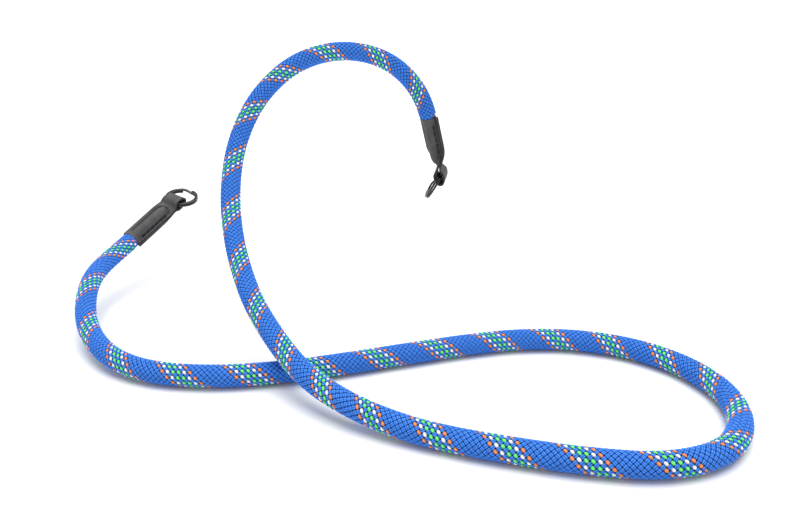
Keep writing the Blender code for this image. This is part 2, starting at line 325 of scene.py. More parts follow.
class RopeLine:
    """The rope's centre line at even steps, with two directions that don't turn about the line."""

    def __init__(self, step):
        mouths = [np.array(ENDS[side]["mouth"]) for side in ("left", "right")]
        ways = [np.array(Vector(ENDS[side]["axis"]).normalized()) for side in ("left", "right")]
        place, span = smooth_curve([mouths[0], *ROPE_ROUTE, mouths[1]], -ways[0], ways[1])
        fine = place(np.linspace(0.0, span, ROUTE_SAMPLES))
        arcs = distances_along(fine)
        self.free_length = arcs[-1]
        first = -math.ceil(ROPE_DEPTH_IN_SLEEVE / step)
        last = math.ceil((self.free_length + ROPE_DEPTH_IN_SLEEVE) / step)
        self.arc = np.arange(first, last + 1) * step
        inside = np.clip(self.arc, 0.0, self.free_length)
        columns = [np.interp(inside, arcs, column) for column in fine.T]
        self.points = np.stack(columns, axis=1)
        self.points += np.minimum(self.arc, 0.0)[:, None] * -ways[0]
        self.points += np.maximum(self.arc - self.free_length, 0.0)[:, None] * ways[1]
        self.tangents = unit(np.gradient(self.points, axis=0))
        self.normals = self.carried_normals()
        self.binormals = np.cross(self.tangents, self.normals)

    def carried_normals(self):
        """An upward direction carried along by double reflection."""
        carried = np.zeros_like(self.points)
        upward = np.array((0.0, 0.0, 1.0))
        tangent = self.tangents[0]
        carried[0] = upward - upward.dot(tangent) * tangent
        carried[0] /= np.linalg.norm(carried[0])
        for row in range(len(self.points) - 1):
            hop = self.points[row + 1] - self.points[row]
            size = hop.dot(hop)
            mirrored = carried[row] - 2 / size * hop.dot(carried[row]) * hop
            tangent = self.tangents[row] - 2 / size * hop.dot(self.tangents[row]) * hop
            bend = self.tangents[row + 1] - tangent
            size = bend.dot(bend)
            if size > 1e-18:
                mirrored = mirrored - 2 / size * bend.dot(mirrored) * bend
            carried[row + 1] = mirrored
        return carried

    def around(self, rows, angles, radii):
        """Points at these angles round the line and distances from it, and the ways out to them."""
        outward = np.cos(angles)[:, None] * self.normals[rows]
        outward = outward + np.sin(angles)[:, None] * self.binormals[rows]
        return self.points[rows] + radii[:, None] * outward, outward


class ShadeValue:
    """A number or colour in a material. Arithmetic on it adds Math nodes."""

    def __init__(self, finish, socket):
        self.finish, self.socket = finish, socket

    def maths(self, operation, *values):
        return self.finish.add("ShaderNodeMath", {"operation": operation}, dict(enumerate(values)))

    def __add__(self, other):
        return self.maths("ADD", self, other)

    def __radd__(self, other):
        return self.maths("ADD", other, self)

    def __sub__(self, other):
        return self.maths("SUBTRACT", self, other)

    def __rsub__(self, other):
        return self.maths("SUBTRACT", other, self)

    def __mul__(self, other):
        return self.maths("MULTIPLY", self, other)

    def __rmul__(self, other):
        return self.maths("MULTIPLY", other, self)

    def __pow__(self, other):
        return self.maths("POWER", self, other)

    def sine(self):
        return self.maths("SINE", self)

    def size(self):
        return self.maths("ABSOLUTE", self)

    def part(self, axis):
        """One of a vector's three values."""
        return self.finish.add("ShaderNodeSeparateXYZ", None, {"Vector": self}, output=axis)

    def between(self, low, high, to_low=0.0, to_high=1.0):
        """Smooth step from to_low at low to to_high at high."""
        settings = {"interpolation_type": "SMOOTHSTEP"}
        values = {"Value": self, 1: low, 2: high, 3: to_low, 4: to_high}
        return self.finish.add("ShaderNodeMapRange", settings, values)


class Finish:
    """One material and the making of its nodes."""

    def __init__(self, name, **constants):
        self.material = bpy.data.materials.new(name)
        self.material.use_nodes = True
        self.tree = self.material.node_tree
        self.shader = self.tree.nodes["Principled BSDF"]
        for socket, value in constants.items():
            self.shader.inputs[socket.replace("_", " ")].default_value = value

    def add(self, kind, settings=None, values=None, output=0):
        """A node of this kind: its settings first, then the values or links of its sockets."""
        node = self.tree.nodes.new(kind)
        for name, value in (settings or {}).items():
            setattr(node, name, value)
        for key, value in (values or {}).items():
            self.plug(node.inputs[key], value)
        return ShadeValue(self, node.outputs[output])

    def plug(self, socket, value):
        if isinstance(value, ShadeValue):
            self.tree.links.new(value.socket, socket)
        else:
            socket.default_value = value

    def feed(self, **values):
        for socket, value in values.items():
            self.plug(self.shader.inputs[socket.replace("_", " ")], value)

    def mix(self, share, low, high):
        """A colour between two others."""
        return self.add(
            "ShaderNodeMix", {"data_type": "RGBA"}, {"Factor": share, 6: low, 7: high}, output=2
        )

    def noise(self, place, scale, detail=3.0, roughness=0.5):
        values = {"Vector": place, "Scale": scale, "Detail": detail, "Roughness": roughness}
        return self.add("ShaderNodeTexNoise", None, values)

    def attribute(self, name):
        return self.add("ShaderNodeAttribute", {"attribute_name": name}, None, output="Fac")

    def coordinates(self, kind):
        return self.add("ShaderNodeTexCoord", None, None, output=kind)

    def stretched(self, place, scale):
        return self.add("ShaderNodeMapping", None, {"Vector": place, "Scale": scale})

    def bump(self, height, strength, distance):
        values = {"Height": height, "Strength": strength, "Distance": distance}
        return self.add("ShaderNodeBump", None, values)


def linear(colour):
    """An sRGB colour in 0 to 255 as the linear colour that shaders take."""
    channels = [value / 255 for value in colour]
    straight = [((c + 0.055) / 1.055) ** 2.4 if c > 0.04045 else c / 12.92 for c in channels]
    return (*straight, 1.0)


def strand_finish(name, colour, yarns):
    """Yarns of one colour, one or two side by side, with painted shade at their sides and in their
    dips and a painted highlight on their crowns.
    """
    finish = Finish(name, Specular_IOR_Level=0.12)
    along = finish.coordinates("UV")
    fibres = finish.noise(finish.stretched(along, (0.5, 9.0, 1.0)), 1.0, detail=4.0, roughness=0.65)
    patches = finish.noise(finish.stretched(along, (0.12, 0.4, 1.0)), 1.0, detail=2.0)
    off_middle = along.part("Y").size()
    off_yarn = (off_middle - 0.5).size() * 2.0 if yarns is TWO_YARNS else off_middle
    rise = finish.attribute("rise")
    colour = np.array(colour[:3])
    # painted shade and painted highlight: a darker and a lighter copy of the yarn's colour
    shadow = (*(colour * (0.14, 0.17, 0.26)), 1.0)
    light = (*np.minimum(colour * (1.45, 1.45, 1.36) + (0.070, 0.092, 0.035), 1.0), 1.0)
    # share of painted highlight: it falls to painted shade in the dips under crossing strands and
    # at each yarn's sides
    share = rise.between(-0.45, 0.95, 0.02, 0.95) * off_yarn.between(0.35, 1.0, 1.0, 0.25)
    share = share + fibres.between(0.3, 0.7, -0.10, 0.12) + patches.between(0.3, 0.7, -0.06, 0.06)
    finish.feed(Base_Color=finish.mix(share, shadow, light))
    finish.feed(Roughness=fibres.between(0.3, 0.7, 0.40, 0.60))
    ridges = (1.0 - off_yarn**2.0) * 1.6 + fibres * 0.5
    finish.feed(Normal=finish.bump(ridges, 0.8, 0.00016))
    return finish.material


def core_finish(colour):
    """The inside of the braid, which shows only between strands, coloured as painted shade."""
    finish = Finish("braid_core", Specular_IOR_Level=0.1)
    grain = finish.noise(finish.coordinates("Object"), 2500.0)
    # painted shade: the yarn's blue at a small share of its brightness, with random grain
    dark = (*(np.array(colour[:3]) * 0.06), 1.0)
    lighter = (*(np.array(colour[:3]) * 0.16), 1.0)
    finish.feed(Base_Color=finish.mix(grain, dark, lighter))
    finish.feed(Roughness=grain.between(0.2, 0.8, 0.75, 0.9))
    return finish.material


def leather_finish():
    """Soft charcoal leather with a fine grain, with painted shade along the stitch grooves, and
    browner at its lip.
    """
    finish = Finish("soft_leather", Specular_IOR_Level=0.25)
    place = finish.coordinates("Object")
    grain = finish.noise(place, 2600.0, detail=4.0, roughness=0.6)
    clouds = finish.noise(place, 160.0, detail=3.0)
    groove, lip = finish.attribute("groove"), finish.attribute("lip")
    share = clouds.between(0.3, 0.7) * 0.6 + grain * 0.4
    # black is the colour of the painted shade in the stitch grooves; brown is the lip's tone
    black, brown = (0.004, 0.004, 0.005, 1.0), (0.095, 0.084, 0.068, 1.0)
    worn = finish.mix(share, (0.048, 0.048, 0.049, 1.0), (0.088, 0.088, 0.089, 1.0))
    # painted shade in the stitch grooves: the leather taken towards black by the groove share
    groove_shaded = finish.mix(groove.between(0.15, 0.75) * 0.95, worn, black)
    finish.feed(Base_Color=finish.mix(lip.between(0.2, 0.8) * 0.75, groove_shaded, brown))
    finish.feed(Roughness=grain.between(0.3, 0.7, 0.50, 0.68))
    finish.feed(Normal=finish.bump(grain, 0.35, 0.00010))
    return finish.material


def cut_edge_finish():
    """The strip's cut edge: rougher and a little browner than its face, with faint layers."""
    finish = Finish("leather_cut_edge", Specular_IOR_Level=0.25)
    fibres = finish.noise(finish.coordinates("Object"), 3200.0, detail=5.0, roughness=0.7)
    dark, light = (0.016, 0.016, 0.015, 1.0), (0.052, 0.051, 0.048, 1.0)
    finish.feed(Base_Color=finish.mix(fibres, dark, light))
    finish.feed(Roughness=fibres.between(0.3, 0.7, 0.65, 0.85))
    finish.feed(Normal=finish.bump(fibres, 0.6, 0.00010))
    return finish.material


def thread_finish():
    """Waxed black thread with its twist."""
    finish = Finish("waxed_thread", Specular_IOR_Level=0.5)
    along = finish.coordinates("UV")
    twist = (along.part("X") * 9.0 + along.part("Y") * math.tau).sine()
    dark, light = (0.004, 0.004, 0.004, 1.0), (0.022, 0.022, 0.023, 1.0)
    finish.feed(Base_Color=finish.mix(twist.between(-1.0, 1.0), dark, light))
    finish.feed(Roughness=twist.between(-1.0, 1.0, 0.55, 0.38))
    finish.feed(Normal=finish.bump(twist, 0.6, 0.00006))
    return finish.material


def nickel_finish():
    """Black nickel plating: dark, polished, with fine rubbing marks."""
    finish = Finish("black_nickel", Metallic=1.0)
    place = finish.coordinates("Object")
    clouds = finish.noise(place, 300.0, detail=3.0)
    drawn = finish.stretched(place, (1.0, 1.0, 6.0))
    scratches = finish.noise(drawn, 1800.0, detail=4.0, roughness=0.7)
    dark, light = (0.030, 0.030, 0.033, 1.0), (0.085, 0.085, 0.090, 1.0)
    finish.feed(Base_Color=finish.mix(clouds, dark, light))
    finish.feed(Roughness=scratches.between(0.35, 0.75, 0.14, 0.34))
    finish.feed(Normal=finish.bump(scratches, 0.12, 0.00005))
    return finish.material


def mesh_from_arrays(name, points, faces, caps, uvs=None, rise=None):
    """A smooth mesh from arrays of quads and end caps; uvs and rise hold one row for each point."""
    mesh = bpy.data.meshes.new(name)
    corners = np.concatenate((faces.ravel(), caps.ravel())).astype(np.int32)
    sizes = np.concatenate((np.full(len(faces), 4), np.full(len(caps), caps.shape[1])))
    starts = np.concatenate(([0], np.cumsum(sizes)[:-1])).astype(np.int32)
    mesh.vertices.add(len(points))
    mesh.vertices.foreach_set("co", np.ascontiguousarray(points, np.float32).ravel())
    mesh.loops.add(len(corners))
    mesh.loops.foreach_set("vertex_index", corners)
    mesh.polygons.add(len(starts))
    mesh.polygons.foreach_set("loop_start", starts)
    mesh.update(calc_edges=True)
    if uvs is not None:
        layer = mesh.uv_layers.new(name="strand")
        layer.data.foreach_set("uv", uvs[corners].astype(np.float32).ravel())
    if rise is not None:
        attribute = mesh.attributes.new("rise", "FLOAT", "POINT")
        attribute.data.foreach_set("value", rise.astype(np.float32))
    mesh.validate()
    mesh.shade_smooth()
    return mesh


def show(name, mesh, materials):
    """Puts a finished mesh into the scene as a piece of the strap."""
    for material in materials:
        mesh.materials.append(material)
    piece = bpy.data.objects.new(name, mesh)
    bpy.context.scene.collection.objects.link(piece)
    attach(piece, "root")
    return piece


def rope_radius_share(arc, free_length):
    """How full the rope is: whole between the leather ends, pressed together inside them."""
    nearness = np.minimum(arc, free_length - arc)
    return NECK_SHARE + (1 - NECK_SHARE) * smooth_step((nearness + NECK_RUN) / (2 * NECK_RUN))


def band_angle(arc, free_length):
    """Angle of the coloured band's middle round the rope at each distance from the left mouth."""
    shares, turns = zip(*BAND_TURNS)
    return math.tau * np.interp(arc / free_length, shares, turns)


def tube_faces(rows, sides):
    """Quads and two end caps of a tube whose points are numbered row by row."""
    row, side = np.meshgrid(np.arange(rows - 1), np.arange(sides), indexing="ij")
    here = row * sides + side
    beside = row * sides + (side + 1) % sides
    corners = (here, beside, beside + sides, here + sides)
    quads = np.stack([corner.ravel() for corner in corners], axis=1)
    caps = np.stack((np.arange(sides)[::-1], (rows - 1) * sides + np.arange(sides)))
    return quads, caps


def joined_tubes(name, tubes):
    """One mesh of several tubes, each an array of rows of points with its UVs and rise."""
    points, quads, caps, uvs, rises, count = [], [], [], [], [], 0
    for rings, uv, rise in tubes:
        tube_quads, tube_caps = tube_faces(*rings.shape[:2])
        points.append(rings.reshape(-1, 3))
        quads.append(tube_quads + count)
        caps.append(tube_caps + count)
        uvs.append(uv.reshape(-1, 2))
        rises.append(rise.ravel())
        count += len(points[-1])
    arrays = [np.concatenate(rows) for rows in (points, quads, caps, uvs, rises)]
    return mesh_from_arrays(name, *arrays)


class StrapRopeSettings(bpy.types.PropertyGroup):
    """Sizes and colours of the braided rope."""

    diameter: FloatProperty(
        name="Diameter", description="Thickness of the rope over its braid",
        default=0.0101, min=0.004, max=0.02, subtype="DISTANCE", unit="LENGTH",
    )
    lead: FloatProperty(
        name="Lead", description="Length in which one strand winds once round the rope",
        default=0.029, min=0.01, max=0.08, subtype="DISTANCE", unit="LENGTH",
    )
    strand_width: FloatProperty(
        name="Strand width", description="Width of one strand of yarn",
        default=0.00170, min=0.0005, max=0.004, subtype="DISTANCE", unit="LENGTH",
    )
    strand_thickness: FloatProperty(
        name="Strand thickness", description="Thickness of one strand of yarn",
        default=0.00066, min=0.0002, max=0.002, subtype="DISTANCE", unit="LENGTH",
    )
    wave: FloatProperty(
        name="Wave", description="How far a strand rises and dips as it crosses others",
        default=0.00027, min=0.0, max=0.001, subtype="DISTANCE", unit="LENGTH",
    )
    blue: FloatVectorProperty(
        name="Blue", description="Colour of the main yarn", subtype="COLOR", size=4,
        default=linear((9, 106, 220)), min=0.0, max=1.0,
    )
    green: FloatVectorProperty(
        name="Green", description="Colour of the band's middle yarn", subtype="COLOR", size=4,
        default=linear((84, 204, 102)), min=0.0, max=1.0,
    )
    orange: FloatVectorProperty(
        name="Orange", description="Colour of the band's outer yarn", subtype="COLOR", size=4,
        default=linear((224, 110, 64)), min=0.0, max=1.0,
    )
    white: FloatVectorProperty(
        name="White", description="Colour of the band's pale yarn", subtype="COLOR", size=4,
        default=linear((226, 232, 240)), min=0.0, max=1.0,
    )


class StrapLeatherSettings(bpy.types.PropertyGroup):
    """Sizes of the leather ends and their stitching."""

    thickness: FloatProperty(
        name="Thickness", description="Thickness of the leather",
        default=0.0011, min=0.0005, max=0.003, subtype="DISTANCE", unit="LENGTH",
    )
    width: FloatProperty(
        name="Width", description="Width of the strip round the rope",
        default=0.0118, min=0.006, max=0.02, subtype="DISTANCE", unit="LENGTH",
    )
    waist_width: FloatProperty(
        name="Waist width", description="Width of the strip between rope and ring",
        default=0.0112, min=0.006, max=0.02, subtype="DISTANCE", unit="LENGTH",
    )
    fold_width: FloatProperty(
        name="Fold width", description="Width of the strip round the ring",
        default=0.0106, min=0.006, max=0.02, subtype="DISTANCE", unit="LENGTH",
    )
    bow: FloatProperty(
        name="Bow", default=14.0, min=0.0, max=60.0,
        description="How strongly the sleeve's flat sides bend back, for each metre across squared",
    )
    crown: FloatProperty(
        name="Crown", description="Height of the leather over the rope, from the middle plane",
        default=0.00385, min=0.003, max=0.008, subtype="DISTANCE", unit="LENGTH",
    )
    bulge_width: FloatProperty(
        name="Bulge width", description="Width of the swelling that holds the rope",
        default=0.0069, min=0.004, max=0.014, subtype="DISTANCE", unit="LENGTH",
    )
    seam_gap: FloatProperty(
        name="Seam gap", description="Gap between the two halves at their edges",
        default=0.00040, min=0.0, max=0.001, subtype="DISTANCE", unit="LENGTH",
    )
    edge_rounding: FloatProperty(
        name="Edge rounding", description="Rounding of the cut edges",
        default=0.00018, min=0.0, max=0.0005, subtype="DISTANCE", unit="LENGTH",
    )
    stitch_inset: FloatProperty(
        name="Stitch rows", description="Distance of each stitch row from the strip's middle",
        default=0.0037, min=0.002, max=0.006, subtype="DISTANCE", unit="LENGTH",
    )
    stitch_pitch: FloatProperty(
        name="Stitch length", description="Distance from one stitch hole to the next",
        default=0.0035, min=0.001, max=0.008, subtype="DISTANCE", unit="LENGTH",
    )
    thread: FloatProperty(
        name="Thread", description="Thickness of the thread",
        default=0.00070, min=0.0002, max=0.001, subtype="DISTANCE", unit="LENGTH",
    )
    groove: FloatProperty(
        name="Groove", description="Depth to which the stitches press the leather at their holes",
        default=0.00065, min=0.0, max=0.001, subtype="DISTANCE", unit="LENGTH",
    )


class StrapRingSettings(bpy.types.PropertyGroup):
    """Sizes of the split rings."""

    outer_diameter: FloatProperty(
        name="Outer diameter", description="Diameter over the wire",
        default=0.019, min=0.008, max=0.04, subtype="DISTANCE", unit="LENGTH",
    )
    wire_width: FloatProperty(
        name="Wire width", description="Width of the wire, from the ring's inside to its outside",
        default=0.0017, min=0.0005, max=0.004, subtype="DISTANCE", unit="LENGTH",
    )
    wire_height: FloatProperty(
        name="Wire height", description="Height of the flat wire along the ring's axis",
        default=0.00128, min=0.0005, max=0.004, subtype="DISTANCE", unit="LENGTH",
    )
    turn_gap: FloatProperty(
        name="Turn gap", description="Gap between the two turns",
        default=0.00014, min=0.0, max=0.001, subtype="DISTANCE", unit="LENGTH",
    )
    step_angle: FloatProperty(
        name="Step", description="Angle over which the wire climbs from one turn to the other",
        default=math.radians(40), min=0.2, max=3.0, subtype="ANGLE", unit="ROTATION",
    )


class StrapStageSettings(bpy.types.PropertyGroup):
    """Floor and light."""

    floor: FloatVectorProperty(
        name="Floor", description="Colour of the floor", subtype="COLOR", size=4,
        default=(0.92, 0.92, 0.92, 1.0), min=0.0, max=1.0,
    )
    key: FloatProperty(
        name="Key light", description="Strength of the soft light from above",
        default=2.95, min=0.0,
    )
    sky: FloatProperty(
        name="Surroundings", description="Brightness of the white surroundings",
        default=0.66, min=0.0,
    )


class STRAP_OT_stage(bpy.types.Operator):
    """Add the floor, the lights and the camera"""

    bl_idname = "strap.stage"
    bl_label = "Stage"

    def execute(self, context):
        settings = context.scene.strap_stage
        self.add_camera(context.scene)
        self.add_floor(context.scene, settings)
        self.add_lights(context.scene, settings)
        context.scene.view_settings.view_transform = "Standard"
        return {"FINISHED"}

    def add_camera(self, scene):
        data = bpy.data.cameras.new("camera")
        data.lens = CAMERA_LENS
        data.sensor_width = CAMERA_SENSOR
        data.clip_start = 0.01
        camera = bpy.data.objects.new("camera", data)
        camera.location = CAMERA_PLACE
        camera.rotation_euler = (math.radians(90 - CAMERA_DOWN_TILT), 0, 0)
        scene.collection.objects.link(camera)
        scene.camera = camera

    def add_floor(self, scene, settings):
        shape = bmesh.new()
        bmesh.ops.create_grid(shape, x_segments=1, y_segments=1, size=FLOOR_HALF_SIZE)
        bmesh.ops.translate(shape, verts=shape.verts, vec=(*FLOOR_CENTRE, FLOOR_HEIGHT))
        mesh = bpy.data.meshes.new("floor")
        shape.to_mesh(mesh)
        shape.free()
        finish = Finish("pale_floor", Specular_IOR_Level=0.3, Roughness=0.6)
        grain = finish.noise(finish.coordinates("Object"), 180.0)
        dull = (*(FLOOR_DULL_SHARE * channel for channel in settings.floor[:3]), 1.0)
        finish.feed(Base_Color=finish.mix(grain, dull, tuple(settings.floor)))
        mesh.materials.append(finish.material)
        floor = bpy.data.objects.new("floor", mesh)
        scene.collection.objects.link(floor)

    def add_lights(self, scene, settings):
        world = bpy.data.worlds.new("surroundings")
        world.use_nodes = True
        background = world.node_tree.nodes["Background"]
        background.inputs["Color"].default_value = (1.0, 1.0, 1.0, 1.0)
        background.inputs["Strength"].default_value = settings.sky
        scene.world = world
        data = bpy.data.lights.new("key", "SUN")
        data.energy = settings.key
        data.angle = math.radians(KEY_SPREAD)
        key = bpy.data.objects.new("key", data)
        key.location = KEY_PLACE
        key.rotation_euler = Vector(KEY_PLACE).to_track_quat("Z", "Y").to_euler()
        scene.collection.objects.link(key)


class STRAP_OT_rope(bpy.types.Operator):
    """Braid the rope along its route, strand by strand"""

    bl_idname = "strap.rope"
    bl_label = "Rope"

    def execute(self, context):
        settings = context.scene.strap_rope
        line = RopeLine(settings.lead / (2 * CARRIERS * ROWS_PER_CROSSING))
        finishes = {
            name: strand_finish(f"yarn_{name}", getattr(settings, name), self.yarns(name))
            for name in ("blue", "green", "orange", "white")
        }
        core = self.add_core(line, settings)
        strands = self.add_rising_strands(line, settings, finishes)
        strands += self.add_falling_strands(line, settings, finishes["blue"])
        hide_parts("rope")
        return {"FINISHED"}

    def yarns(self, colour):
        """Make-up of the strands of a colour."""
        return TWO_YARNS if colour == "blue" else ONE_YARN

    def radius(self, line, rows, settings):
        """Distance from the line to the middle of the braid's thickness."""
        full = (settings.diameter - settings.strand_thickness) / 2 - settings.wave
        return full * rope_radius_share(line.arc[rows], line.free_length)

    def add_core(self, line, settings):
        """The plain tube that the strands lie on."""
        rows = np.arange(0, len(line.arc), CORE_ROW_STEP)
        radii = self.radius(line, rows, settings)
        turns = np.linspace(0.0, math.tau, CORE_SIDES + 1)[:-1]
        rings = [line.around(rows, np.full(len(rows), turn), radii)[0] for turn in turns]
        points = np.stack(rings, axis=1).reshape(-1, 3)
        mesh = mesh_from_arrays("braid_core", points, *tube_faces(len(rows), CORE_SIDES))
        return show("braid_core", mesh, [core_finish(settings.blue)])

    def strand(self, line, settings, place, handed, yarns):
        """Rings of points, UVs and rise of a strand that climbs right (handed 1) or left (-1)."""
        first, last = -BRAID_DEPTH_IN_SLEEVE, line.free_length + BRAID_DEPTH_IN_SLEEVE
        rows = np.nonzero((line.arc > first) & (line.arc < last))[0]
        arc = line.arc[rows]
        winding = math.tau * arc / settings.lead
        lean = band_angle(arc, line.free_length) - winding
        angle = math.tau * place / CARRIERS + lean + handed * winding
        rise = handed * np.cos(CARRIERS * winding)
        outline, least, sooner = yarns
        height = settings.wave * (rise - sooner * (1 - rise**2))
        centres, outward = line.around(rows, angle, self.radius(line, rows, settings) + height)
        across, lift = section_ways(centres, outward)
        half = settings.strand_width / 2 * (1 - (1 - least) * (1 - rise) / 2)
        thick = settings.strand_thickness / 2
        rings = [centres + (half * x)[:, None] * across + (thick * y) * lift for x, y in outline]
        uvs = np.empty((len(rows), len(outline), 2))
        uvs[:, :, 0] = (distances_along(centres) * 1000 + STRAND_PATTERN_STEP * place)[:, None]
        uvs[:, :, 1] = [x for x, y in outline]
        rises = np.repeat(rise, len(outline)).reshape(len(rows), -1)
        return np.stack(rings, axis=1), uvs, rises

    def add_strands(self, name, line, settings, places, handed, yarns, material):
        """One piece of all the strands at these places among the carriers."""
        tubes = [
            self.strand(line, settings, place - BAND_MIDDLE, handed, yarns) for place in places
        ]
        return show(name, joined_tubes(name, tubes), [material])

    def add_rising_strands(self, line, settings, finishes):
        """The strands that climb to the right, a piece for each colour."""
        pieces = []
        for colour in sorted(set(RISING_COLOURS)):
            name = f"rising_strands_{colour}"
            places = [place for place, found in enumerate(RISING_COLOURS) if found == colour]
            finish, yarns = finishes[colour], self.yarns(colour)
            pieces.append(self.add_strands(name, line, settings, places, 1, yarns, finish))
        return pieces

    def add_falling_strands(self, line, settings, finish):
        """The strands that climb to the left, all blue, in two pieces."""
        pieces = []
        for start, half in enumerate(("even", "odd")):
            name = f"falling_strands_{half}"
            places = range(start, CARRIERS, 2)
            pieces.append(self.add_strands(name, line, settings, places, -1, TWO_YARNS, finish))
        return pieces


class LeatherStrip:
    """Outer face of a strip folded in half round a ring, its two halves closed on the rope's end.

    Places on it are given by the distance across from its middle and by the row along it, from the
    front half's mouth over the fold to the back half's mouth.
    """

    def __init__(self, settings, rows, side):
        self.settings = settings
        self.end, self.frame = ENDS[side], leather_frame(side)
        self.seam = settings.thickness + settings.seam_gap / 2
        self.position, self.height = self.side_line(rows)
        self.half = np.where(np.arange(rows) < rows / 2, 1.0, -1.0)

    def side_line(self, rows):
        """The strip seen from its side, at even steps: positions along it, and heights."""
        flat = np.linspace(0.0, FOLD_PARTS, FLAT_SAMPLES)
        parting = np.linspace(FOLD_PARTS, FOLD_CENTRE, PARTING_SAMPLES)[1:]
        share = smooth_step((parting - FOLD_PARTS) / (FOLD_CENTRE - FOLD_PARTS))
        rise = np.sin(math.pi / 2 * share**PARTING_EXPONENT)
        bend = np.linspace(math.pi / 2, math.pi, BEND_SAMPLES)[1:]
        positions = (flat, parting, FOLD_CENTRE - FOLD_HALF_LENGTH * np.cos(bend))
        heights = (
            np.full_like(flat, self.seam),
            self.seam + (FOLD_HALF_HEIGHT - self.seam) * rise,
            FOLD_HALF_HEIGHT * np.sin(bend),
        )
        front = np.stack((np.concatenate(positions), np.concatenate(heights)), axis=1)
        whole = np.concatenate((front, front[-2::-1] * (1, -1)))
        arcs = distances_along(whole)
        even = np.linspace(0.0, arcs[-1], rows)
        weights = np.hanning(2 * SMOOTHING_REACH + 3)[1:-1]
        columns = []
        for column in whole.T:
            values = np.interp(even, arcs, column)
            padded = np.pad(values, SMOOTHING_REACH, mode="reflect", reflect_type="odd")
            columns.append(np.convolve(padded, weights / weights.sum(), mode="valid"))
        return columns

    def to_waist(self, position):
        """Eases from 0 over the rope to 1 at the waist."""
        return smooth_step((position - GRIP_LENGTH) / (WAIST_POSITION - GRIP_LENGTH))

    def across(self, shares):
        """Places across the strip at these shares of its half width, for each of its rows."""
        settings, to_waist = self.settings, self.to_waist(self.position)
        to_fold = smooth_step((self.position - WAIST_POSITION) / (FOLD_CENTRE - WAIST_POSITION))
        width = settings.width + (settings.waist_width - settings.width) * to_waist
        width = width + (settings.fold_width - settings.waist_width) * to_fold
        cut = np.where(self.half == -self.end["bow_way"], CUT_BACK * (1 - to_waist), 0.0)
        return shares * ((width - cut) / 2)[:, None] - (cut / 2)[:, None]

    def bulge(self, across, position):
        """How far the rope inside lifts the leather above its flat sides."""
        settings = self.settings
        flare = 1 - smooth_step(position / MOUTH_FLARE_LENGTH)
        half_width = settings.bulge_width / 2 + MOUTH_FLARE_WIDTH * flare
        crown = settings.crown + MOUTH_FLARE_HEIGHT * flare
        beyond = np.clip((position - GRIP_LENGTH) / BULGE_END_LENGTH, 0.0, 1.0)
        room = np.maximum(0.0, 1 - (across / half_width) ** 2 - beyond**2)
        over = crown * room**BULGE_ROUNDNESS - self.seam
        flat = (math.hypot(self.seam, BULGE_SOFTNESS) - self.seam) / 2
        return (over + np.hypot(over, BULGE_SOFTNESS)) / 2 - flat

    def face(self, across, rows):
        """Points of the outer face before the twist."""
        position, height, half = self.position[rows], self.height[rows], self.half[rows]
        return np.stack((across, height + half * self.bulge(across, position), position), axis=-1)

    def twisted(self, points):
        """The points in the scene, the sleeve bowed and the tab turned as it hangs on the ring."""
        end = self.end
        x, y, z = np.moveaxis(points, -1, 0)
        y = y + end["bow_way"] * self.settings.bow * x**2 * (1 - self.to_waist(z))
        share = smooth_step((z - end["turn_from"]) / (TWIST_END - end["turn_from"]))
        turn = np.radians(end["sleeve_turn"] + (end["twist"] - end["sleeve_turn"]) * share)
        turned = (x * np.cos(turn) - y * np.sin(turn), x * np.sin(turn) + y * np.cos(turn), z)
        return placed(self.frame, np.stack(turned, axis=-1))


def stitch_line(settings):
    """The stitching's path on one half: up beside the rope, round its end and down again."""
    inset = settings.stitch_inset
    top = GRIP_LENGTH + STITCH_TURN_START
    sides = np.linspace(STITCH_START, top, STITCH_LINE_SAMPLES)
    turn = np.linspace(0.0, math.pi, STITCH_LINE_SAMPLES)[1:-1]
    straight = np.full_like(sides, inset)
    across = np.concatenate((straight, inset * np.cos(turn), -straight))
    position = np.concatenate((sides, top + STITCH_TURN_LENGTH * np.sin(turn), sides[::-1]))
    return np.stack((across, position), axis=1)


def along_line(line, distances):
    """Places on a polyline at these distances."""
    arcs = distances_along(line)
    return np.stack([np.interp(distances, arcs, column) for column in line.T], axis=1)


def stitch_distances(settings):
    """Distances along the stitching of the places on each stitch, one row for a stitch."""
    length = distances_along(stitch_line(settings))[-1]
    count = round(length / settings.stitch_pitch)
    spare = (1 - STITCH_COVER) / 2
    shares = np.linspace(spare, 1 - spare, STITCH_ROWS)
    return (np.arange(count)[:, None] + shares) * length / count


